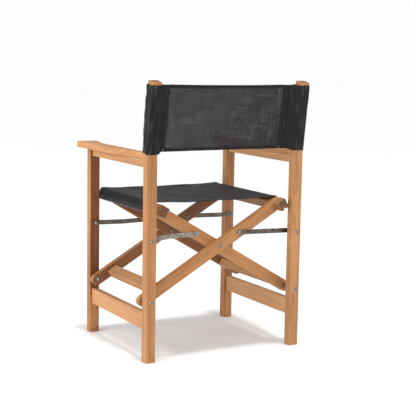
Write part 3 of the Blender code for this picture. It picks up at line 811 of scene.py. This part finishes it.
allKeys = list(range(len(seatLine)))
flapStart = next(k for k, p in enumerate(railLine) if p[0] > faceEdge - 0.004 and p[1] < 0)
hemKeys = list(range(flapStart, len(seatLine) - flapStart))
seatCloth = seatStrip("seatCloth", allKeys, evenly(seatFront, seatRear, seat["rows"]), 0.0, seat["layer"],
                      seatMaterial)
hemLift = (seat["layer"] + seat["hemLayer"]) / 2
seatHems = []
for name, low, high in (("seatFrontHem", seatFront - 0.0004, seatFront + seat["hemWidth"]),
                        ("seatRearHem", seatRear - seat["hemWidth"], seatRear + 0.0004)):
    seatHems.append(seatStrip(name, hemKeys, evenly(low, high, 7), hemLift, seat["hemLayer"],
                              bandMaterial))

# a plain edging along each rail, over the lower corner and part of the outer face
edging = []
profile = railLine[flapStart - 1:faceStart + 1]
profile += [railLine[faceStart] + Vector((0, seat["sideHem"] * s)) for s in (0.25, 0.5, 0.75, 1.0)]
for name, mirrored in (("seatLeftEdging", 1), ("seatRightEdging", -1)):
    rows = []
    flats = []
    for y in evenly(seatFront - 0.0004, seatRear + 0.0004, 24):
        row = []
        for i, p in enumerate(profile):
            ahead = profile[min(i + 1, len(profile) - 1)] - profile[max(i - 1, 0)]
            out = Vector((ahead.y, -ahead.x)).normalized()
            spot = railToWorld(p + out * hemLift)
            row.append(Vector((mirrored * spot.x, y, spot.y)))
        rows.append(row)
        flats.append([(y, r) for r in lengths(row)])
    strip = finishMesh(name, skin(rows, flats), bandMaterial)
    edging.append(thicken(strip, seat["hemLayer"]))

sewing = bmesh.new()
for y in (seatFront + 0.0022, seatFront + seat["hemWidth"] - 0.002,
          seatRear - 0.0022, seatRear - seat["hemWidth"] + 0.002):
    line = [seatPoint(k, y, hemLift + seat["hemLayer"] / 2) for k in hemKeys]
    ups = [(seatPoint(k, y, 0.001) - seatPoint(k, y, 0.0)).normalized() for k in hemKeys]
    addStitches(sewing, line, ups)
seatStitches = finishMesh("seatStitches", sewing, threadMaterial)

seatPieces = [seatCloth, *seatHems, *edging, seatStitches]
for piece in seatPieces:
    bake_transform(piece)
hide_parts("seat_sling")


# Back: mesh panel, hems and a black sleeve on each post
back = {
    "kink": 0.640,
    "rake": math.radians(7.0),
    "forward": 0.006,  # the panel's plane, in front of the post's middle
    "meshLayer": 0.0011,
    "sleeveLayer": 0.0009,
    "sandwich": 0.0011,  # from the panel's middle to each black layer
    "tubeStart": 0.036,  # from the post's middle to the seam that closes the tube
    "leftEdge": (0.0485, 0.0545),  # from the post's middle to the mesh, at the bottom and at the top
    "rightEdge": (0.0700, 0.0660),
    "cornerRadius": 0.0045,
    "cornerX": 0.0138,
    "cornerY": 0.0118,
    "topSag": 0.0030,
    "bottomSag": 0.0008,
    "hem": 0.0115,
    "hemThick": 0.0030,
    "sleeveDrop": 0.0035,
    "foldAxis": (0.997, 0.075, 0),  # a direction mostly along X, slightly rearwards
    "foldKeep": 0.38,
    "swell": 0.0016,
    "ripple": 0.0008,
    "seamPull": 0.0007,
    "creasePitch": 0.0145,
    "creaseHeight": 0.0044,
    "rightSlack": 0.28,  # against 1 on the left
    "columns": 96,
    "rows": 46,
    "sleevePoints": 128,
    "sleeveRows": 90,
}
lean = math.cos(back["rake"])
backLow = (panelLow.z - back["kink"]) / lean
backHigh = (panelHigh.z - back["kink"]) / lean


def backPoint(x, forward, height):
    s = math.sin(back["rake"])
    return Vector((x, postY + height * s - forward * lean, back["kink"] + height * lean + forward * s))


def topEdge(x):
    return backHigh - back["topSag"] * (1 - (x / halfSpan) ** 2)


def bottomEdge(x):
    return backLow + back["bottomSag"] * (1 - (x / halfSpan) ** 2)


# Slack of the stretched panel: long soft swells, none where the bands hold it
def panelWave(x, height):
    reach = halfSpan - back["tubeStart"]
    free = ease((reach - abs(x)) / 0.035)
    swell = back["swell"] * noise.noise((x * 9, height * 13, 1.0))
    ripple = back["ripple"] * noise.noise((x * 26, height * 22, 4.0))
    pull = back["seamPull"] * math.sin(x * 95 + 1.4 * math.sin(height * 31))
    return free * (swell + ripple + pull * math.exp(-((reach - abs(x)) / 0.06) ** 2))


def edgeOf(side, share):
    low, high = back["leftEdge"] if side > 0 else back["rightEdge"]
    return side * (halfSpan - low - (high - low) * share)


def makePanel():
    rows = []
    flats = []
    reach = halfSpan - back["tubeStart"] - 0.001
    xs = evenly(-reach, reach, back["columns"])
    for share in evenly(0.0, 1.0, back["rows"]):
        row = []
        flat = []
        for x in xs:
            height = bottomEdge(x) + (topEdge(x) - bottomEdge(x)) * share
            row.append(backPoint(x, back["forward"] + panelWave(x, height), height))
            flat.append((x, height))
        rows.append(row)
        flats.append(flat)
    return thicken(finishMesh("backMesh", skin(rows, flats), meshMaterial), back["meshLayer"])


# A folded edge: a flat, slightly puffed loop around the panel's edge
def makeHem(name, atTop):
    rows = []
    flats = []
    count = 14
    for share in evenly(0.0, 1.0, back["columns"]):
        x = edgeOf(-1, atTop) + (edgeOf(1, atTop) - edgeOf(-1, atTop)) * share
        edge = topEdge(x) if atTop else bottomEdge(x)
        centre = edge + (-1 if atTop else 1) * (back["hem"] / 2 - 0.0008)
        wave = panelWave(x, centre)
        pucker = 1 + 0.10 * math.sin(x * 700) + 0.12 * noise.noise((x * 90, 3.0 + atTop, 0.0))
        row = []
        flat = []
        for k in range(count):
            turn = 2 * math.pi * k / count
            c = math.cos(turn)
            s = math.sin(turn)
            up = math.copysign(abs(s) ** 0.35, s) * back["hem"] / 2
            out = math.copysign(abs(c) ** 0.6, c) * back["hemThick"] / 2 * pucker
            row.append(backPoint(x, back["forward"] + wave + out, centre + up))
            flat.append((x, up + out))
        flat.append(flat[0])
        rows.append(row)
        flats.append(flat)
    shape = skin(rows, flats, closed=True)
    shape.verts.ensure_lookup_table()
    shape.faces.new([shape.verts[k] for k in reversed(range(count))])
    last = len(shape.verts) - count
    shape.faces.new([shape.verts[last + k] for k in range(count)])
    return finishMesh(name, shape, bandMaterial)


# The angle at which a line from the target touches a circle
def tangentTurn(target, centre, radius, way):
    away = Vector(target) - Vector(centre)
    return math.degrees(math.atan2(away.y, away.x)) + way * math.degrees(math.acos(radius / away.length))


# Around a post, as (towards the panel, forward), from the rear layer's edge to the front one's
def sleeveSection(seam):
    r = back["cornerRadius"]
    cx = back["cornerX"]
    cy = back["cornerY"]
    rear = back["forward"] - back["sandwich"]
    front = back["forward"] + back["sandwich"]
    tube = back["tubeStart"]
    line = [Vector((seam, rear)), Vector((tube + 0.004, rear)), Vector((tube, rear))]
    start = tangentTurn((tube, rear), (cx, -cy), r, -1)
    line += arc((cx, -cy), r, start, -90, 4)
    line += arc((-cx, -cy), r, -90, -180, 8)
    line += arc((-cx, cy), r, -180, -270, 8)
    stop = tangentTurn((tube, front), (cx, cy), r, 1)
    line += arc((cx, cy), r, 90, stop, 4)
    line += [Vector((tube, front)), Vector((tube + 0.004, front)), Vector((seam, front))]
    return line


# Folds standing off the post; the left sleeve is looser than the right one
def wrinkles(side, s, total, height):
    loose = 1.0 if side > 0 else back["rightSlack"]
    span = (height - backLow) / (backHigh - backLow)
    onTube = ease((s - 0.020) / 0.010) * ease((total - 0.020 - s) / 0.010)
    sway = 0.0060 * noise.noise((height * 15, 6.0 * side, 0.5))
    sway += 0.004 * noise.noise((height * 40, 2.0, 7.0 * side))
    folds = 0.5 + 0.5 * math.sin(2 * math.pi * (s + sway) / back["creasePitch"])
    uneven = 0.6 + 1.1 * noise.noise((s * 48, height * 19, 3.0 * side))
    deep = back["creaseHeight"] * folds ** 1.3 * max(0.0, uneven)
    gathered = 0.0012 * abs(noise.noise((s * 70, height * 60, 9.0))) * (0.4 + ease(1 - span * 1.6))
    return loose * onTube * (deep + gathered)


def makeSleeve(name, side):
    rows = []
    flats = []
    for share in evenly(0.0, 1.0, back["sleeveRows"]):
        seam = halfSpan - abs(edgeOf(side, share))
        line = soften(resample(sleeveSection(seam), back["sleevePoints"]), 2)
        run = lengths(line)
        row = []
        flat = []
        for k, p in enumerate(line):
            s = run[k]
            hang = back["sleeveDrop"] * ease((back["tubeStart"] + 0.002 - p.x) / 0.012)
            wavy = 0.0008 * noise.noise((s * 60, 3.0 * side, 0.0)) * ease((back["tubeStart"] - p.x) / 0.01)
            low = backLow - hang - wavy
            high = backHigh - 0.0012 * ease((p.x - 0.012) / 0.03)
            height = low + (high - low) * share
            before = line[max(0, k - 1)]
            after = line[min(len(line) - 1, k + 1)]
            out = Vector((after.y - before.y, before.x - after.x)).normalized()
            spot = p - out * wrinkles(side, s, run[-1], height)
            x = side * (halfSpan - spot.x)
            forward = spot.y
            if p.x > back["tubeStart"]:
                forward += panelWave(x, height)
            row.append(backPoint(x, forward, height))
            flat.append((s, height))
        rows.append(row)
        flats.append(flat)
    item = thicken(finishMesh(name, skin(rows, flats), bandMaterial), back["sleeveLayer"])
    return item, lengths(sleeveSection(halfSpan - abs(edgeOf(side, 0.5))))[-1]


backMesh = makePanel()
backHems = [makeHem("backTopHem", 1), makeHem("backBottomHem", 0)]
leftSleeve, leftCut = makeSleeve("leftSleeve", 1)
rightSleeve, rightCut = makeSleeve("rightSleeve", -1)


# Rows of stitches on both faces of the panel; each line is (x, height) at both ends, then the lift
def sewBack(name, lines):
    shape = bmesh.new()
    for start, stop, lift in lines:
        for face in (1, -1):
            line = []
            for x, height in zip(evenly(start[0], stop[0], 41), evenly(start[1], stop[1], 41)):
                line.append(backPoint(x, back["forward"] + panelWave(x, height) + face * lift, height))
            up = backPoint(0, face, 0) - backPoint(0, 0, 0)
            addStitches(shape, line, [up])
    return finishMesh(name, shape, threadMaterial)


hemLiftBack = back["hemThick"] / 2 - 0.0002
bandLift = back["sandwich"] + back["sleeveLayer"] / 2
hemLines = []
hemSeams = (backLow + back["hem"] - 0.0030, backHigh - back["topSag"] - back["hem"] + 0.0030)
for atTop, height in ((1, hemSeams[1]), (0, hemSeams[0])):
    hemLines.append(((edgeOf(-1, atTop) + 0.003, height), (edgeOf(1, atTop) - 0.003, height), hemLiftBack))


def bandLines(side):
    found = []
    for inset in (0.0025, 0.0075):
        low = edgeOf(side, 0) + side * inset
        high = edgeOf(side, 1) + side * inset
        found.append(((low, backLow + 0.002), (high, backHigh - 0.004), bandLift))
    closing = side * (halfSpan - back["tubeStart"] - 0.0035)
    found.append(((closing, backLow + 0.002), (closing, backHigh - 0.004), bandLift))
    return found


hemStitches = sewBack("backHemStitches", hemLines)
leftStitches = sewBack("leftSleeveStitches", bandLines(1))
rightStitches = sewBack("rightSleeveStitches", bandLines(-1))

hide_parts("back_panel")
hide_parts("left_back_sleeve")
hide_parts("right_back_sleeve")
for piece in (leftSleeve, leftStitches):
    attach(piece, "left_side")
for piece in (rightSleeve, rightStitches):
    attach(piece, "right_side")
for piece in (backMesh, *backHems, hemStitches):
    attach(piece, "left_side")
    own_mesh(piece)


# Small hardware that the frame leaves out
screw = {"radius": 0.0042, "height": 0.0022, "recess": 0.0016, "depth": 0.0010, "sides": 20}


# A domed head with a recess, its back on the surface
def addHead(shape, centre, axis, size=1.0):
    axis = axis.normalized()
    side = axis.orthogonal().normalized()
    other = axis.cross(side)
    r = screw["radius"] * size
    h = screw["height"] * size
    recess = screw["recess"] * size
    profile = [(r, 0.0), (r, h * 0.25)]
    for t in map(math.radians, (25, 45, 62)):
        profile.append((r * math.cos(t), h * (0.25 + 0.75 * math.sin(t))))
    profile += [(recess, h * 0.96), (recess, h * 0.96 - screw["depth"] * size)]
    rings = []
    for radius, height in profile:
        ring = []
        for k in range(screw["sides"]):
            turn = 2 * math.pi * k / screw["sides"]
            out = side * math.cos(turn) + other * math.sin(turn)
            ring.append(shape.verts.new(centre + out * radius + axis * height))
        rings.append(ring)
    faces = joinRings(shape, rings)
    for face in (*faces[-2 - screw["sides"]:-2], faces[-1]):
        face.material_index = 1  # the recess gets the painted shade material


barScrew = {"fromCrossing": 0.189, "size": 0.9}
railScrew = {"spacing": 0.106, "size": 0.9}
for pair, sign in (("inner", 1), ("outer", -1)):
    heads = bmesh.new()
    direction = Vector((sign * math.cos(barAngle), 0, math.sin(barAngle)))
    spot = Vector((crossing.x, 0, crossing.z)) + direction * barScrew["fromCrossing"]
    for bar, end, way in (("_front_bar", 1, 1), ("_rear_bar", 0, -1)):
        spot.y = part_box(pair + bar)[end].y
        addHead(heads, spot, Vector((0, way, 0)), barScrew["size"])
    rail = Vector((sign * railCentre.x, 0, railCentre.z)) - direction * seat["railWidth"] / 2
    for way in (1, -1):
        rail.y = middleY + way * railScrew["spacing"]
        addHead(heads, rail, -direction, railScrew["size"])
    screws = finishMesh(pair + "Screws", heads, headMaterial)
    screws.data.materials.append(recessShadeMaterial)
    screws.data.set_sharp_from_angle(angle=math.radians(40))
    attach(screws, pair + "_scissor")

tack = {"size": 0.42, "inset": 0.007}
for name, side in (("leftTack", 1), ("rightTack", -1)):
    heads = bmesh.new()
    outward = backPoint(0, -1, 0) - backPoint(0, 0, 0)
    depth = back["cornerRadius"] + back["cornerY"] + back["sleeveLayer"] / 2
    x = side * (halfSpan + 0.006)
    addHead(heads, backPoint(x, -depth, backHigh - tack["inset"]), outward, tack["size"])
    low = edgeOf(side, 0.0) + side * 0.005
    addHead(heads, backPoint(low, back["forward"] - bandLift, backLow + 0.006), outward, tack["size"])
    tacks = finishMesh(name, heads, headMaterial)
    tacks.data.materials.append(recessShadeMaterial)
    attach(tacks, "left_side" if side > 0 else "right_side")
print("small hardware added")


# Stage, light and camera
studio = {
    "floorSize": 60.0,
    "floorColour": (0.930, 0.940, 0.955, 1),
    "cameraWhite": 0.99,
    "ambient": 0.64,
    "keyFrom": (0.0, 0.07, 1.0),
    "keySpread": 5.5,  # degrees
    "keyStrength": 1.33,
    "softboxes": {  # place, aim, size, power, colour
        "sideSoftbox": ((3.2, 0.6, 1.4), (0.1, 0.0, 0.4), 2.6, 84.0, (1.0, 0.99, 0.97)),
        "rearSoftbox": ((-1.3, 3.6, 1.6), (0.0, 0.1, 0.4), 2.2, 38.0, (1.0, 0.92, 0.82)),
    },
}


def makeFloor():
    shape = bmesh.new()
    bmesh.ops.create_grid(shape, x_segments=1, y_segments=1, size=studio["floorSize"] / 2)
    mesh = bpy.data.meshes.new("floor")
    shape.to_mesh(mesh)
    shape.free()
    material, tree, shader = newMaterial("paleFloor")
    where = put(tree, "ShaderNodeTexCoord").outputs["Object"]
    speckle = remap(tree, clouds(tree, where, 3.0, 3.0), 0.3, 0.7)
    pale = studio["floorColour"]
    colour = blendColour(tree, speckle, pale, tuple(c * 1.015 for c in pale[:3]) + (1,))
    feed(tree, shader, {"Base Color": colour, "Roughness": 0.75, "Specular IOR Level": 0.2})
    mesh.materials.append(material)
    addObject("floor", mesh)


def makeWorld():
    world = bpy.data.worlds.new("studio")
    bpy.context.scene.world = world
    world.use_nodes = True
    tree = world.node_tree
    tree.nodes.clear()
    seen = put(tree, "ShaderNodeLightPath").outputs["Is Camera Ray"]
    strength = remap(tree, seen, 0.0, 1.0, studio["ambient"], studio["cameraWhite"])
    background = put(tree, "ShaderNodeBackground", {"Color": (1, 1, 1, 1), "Strength": strength})
    put(tree, "ShaderNodeOutputWorld", {"Surface": background.outputs[0]})


def addLight(name, kind, away, place=(0, 0, 3)):
    light = bpy.data.lights.new(name, kind)
    item = addObject(name, light)
    item.location = place
    item.rotation_euler = Vector(away).to_track_quat("Z", "Y").to_euler()
    return light


def makeLights():
    key = addLight("highSoftbox", "SUN", studio["keyFrom"])
    key.angle = math.radians(studio["keySpread"])
    key.energy = studio["keyStrength"]
    for name, (place, aim, size, power, colour) in studio["softboxes"].items():
        box = addLight(name, "AREA", Vector(place) - Vector(aim), place)
        box.shape = "SQUARE"
        box.size = size
        box.energy = power
        box.color = colour


view = {
    "azimuth": 151.10,
    "elevation": 7.925,
    "distance": 3.754,
    "aim": (-0.0602, 0.0091, 0.4343),
    "roll": 1.04,
    "lens": 97.72,
    "sensor": 36.0,
}


def makeCamera():
    a = math.radians(view["azimuth"])
    e = math.radians(view["elevation"])
    away = Vector((math.sin(a) * math.cos(e), -math.cos(a) * math.cos(e), math.sin(e)))
    right = (-away).cross(Vector((0, 0, 1))).normalized()
    up = right.cross(-away)
    turn = math.radians(view["roll"])
    tiltedRight = right * math.cos(turn) + up * math.sin(turn)
    tiltedUp = up * math.cos(turn) - right * math.sin(turn)
    data = bpy.data.cameras.new("camera")
    data.lens = view["lens"]
    data.sensor_width = view["sensor"]
    camera = addObject("camera", data)
    placing = Matrix((tiltedRight, tiltedUp, away)).transposed().to_4x4()
    placing.translation = Vector(view["aim"]) + away * view["distance"]
    camera.matrix_world = placing
    bpy.context.scene.camera = camera


makeFloor()
makeWorld()
makeLights()
makeCamera()
bpy.context.scene.view_settings.view_transform = "Standard"
print("stage, lights and camera ready")
